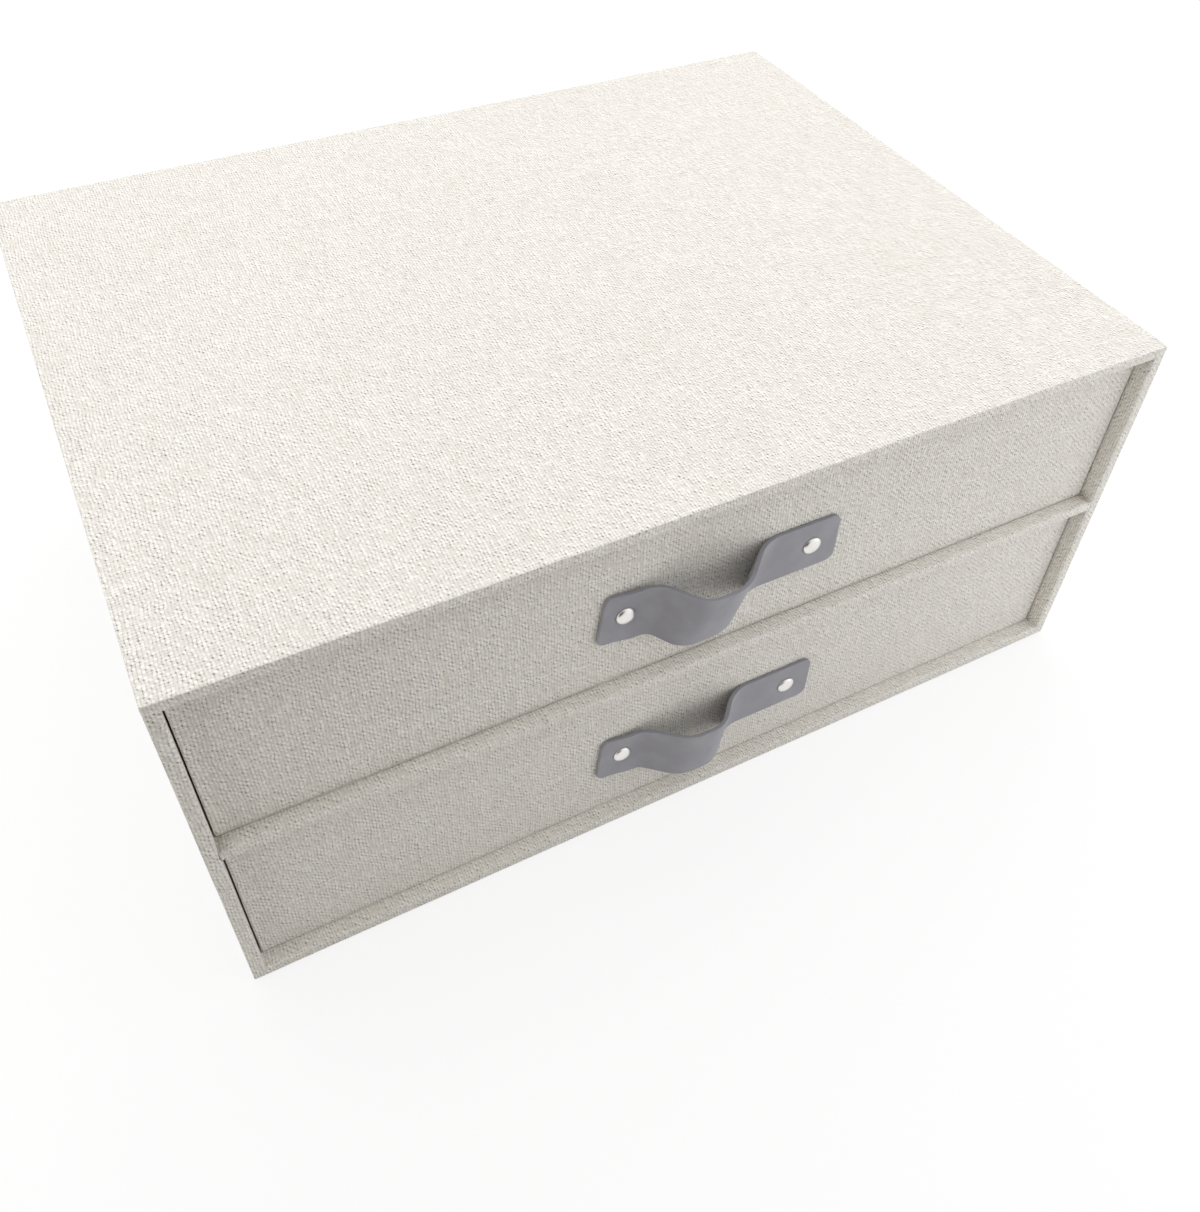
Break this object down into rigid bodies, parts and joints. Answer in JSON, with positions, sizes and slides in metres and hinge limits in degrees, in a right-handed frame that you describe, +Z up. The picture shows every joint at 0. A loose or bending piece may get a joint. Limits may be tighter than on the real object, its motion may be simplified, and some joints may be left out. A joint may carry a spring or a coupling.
{
  "type": "file box with drawers",
  "caption": "Cloth-covered desk file box: a rigid case with stacked drawers that slide forward, each pulled by a riveted leather strap.",
  "frame": {"origin": "centre of the case's underside", "axes": "+X to the right as seen from the front, +Y to the back, +Z up; the drawers pull out along -Y"},
  "size_m": [0.33, 0.261, 0.1446],
  "materials": {
    "linen_cloth": "plain-weave linen book cloth",
    "greyboard": "matt greyboard",
    "lining_paper": "matt lining paper",
    "strap_leather": "smooth slate-grey leather with cut edges",
    "rivet_metal": "satin silver"
  },
  "bodies": {
    "case": {"case_base_board": "greyboard", "case_top_board": "greyboard", "case_left_board": "greyboard", "case_right_board": "greyboard", "case_back_board": "greyboard", "case_shelf_board": "greyboard", "case_outer_cloth": "linen_cloth", "case_back_cloth": "linen_cloth", "case_base_sheet": "lining_paper", "shelf_edge_cloth": "linen_cloth", "lower_bay_lining": "lining_paper", "upper_bay_lining": "lining_paper"},
    "upper_drawer": {"upper_drawer_front_board": "greyboard", "upper_drawer_back_board": "greyboard", "upper_drawer_left_board": "greyboard", "upper_drawer_right_board": "greyboard", "upper_drawer_bottom_board": "greyboard", "upper_drawer_cloth": "linen_cloth", "upper_drawer_lining": "lining_paper", "upper_drawer_under_sheet": "lining_paper", "upper_drawer_strap": "strap_leather", "upper_drawer_rivets": "rivet_metal", "upper_drawer_rivet_backs": "rivet_metal"},
    "lower_drawer": {"lower_drawer_front_board": "greyboard", "lower_drawer_back_board": "greyboard", "lower_drawer_left_board": "greyboard", "lower_drawer_right_board": "greyboard", "lower_drawer_bottom_board": "greyboard", "lower_drawer_cloth": "linen_cloth", "lower_drawer_lining": "lining_paper", "lower_drawer_under_sheet": "lining_paper", "lower_drawer_strap": "strap_leather", "lower_drawer_rivets": "rivet_metal", "lower_drawer_rivet_backs": "rivet_metal"}
  },
  "joints": [
    {"name": "upper_drawer_slide", "type": "slide", "parent": "case", "child": "upper_drawer", "axis": [0, -1, 0], "range_m": [0, 0.2]},
    {"name": "lower_drawer_slide", "type": "slide", "parent": "case", "child": "lower_drawer", "axis": [0, -1, 0], "range_m": [0, 0.2]}
  ]
}
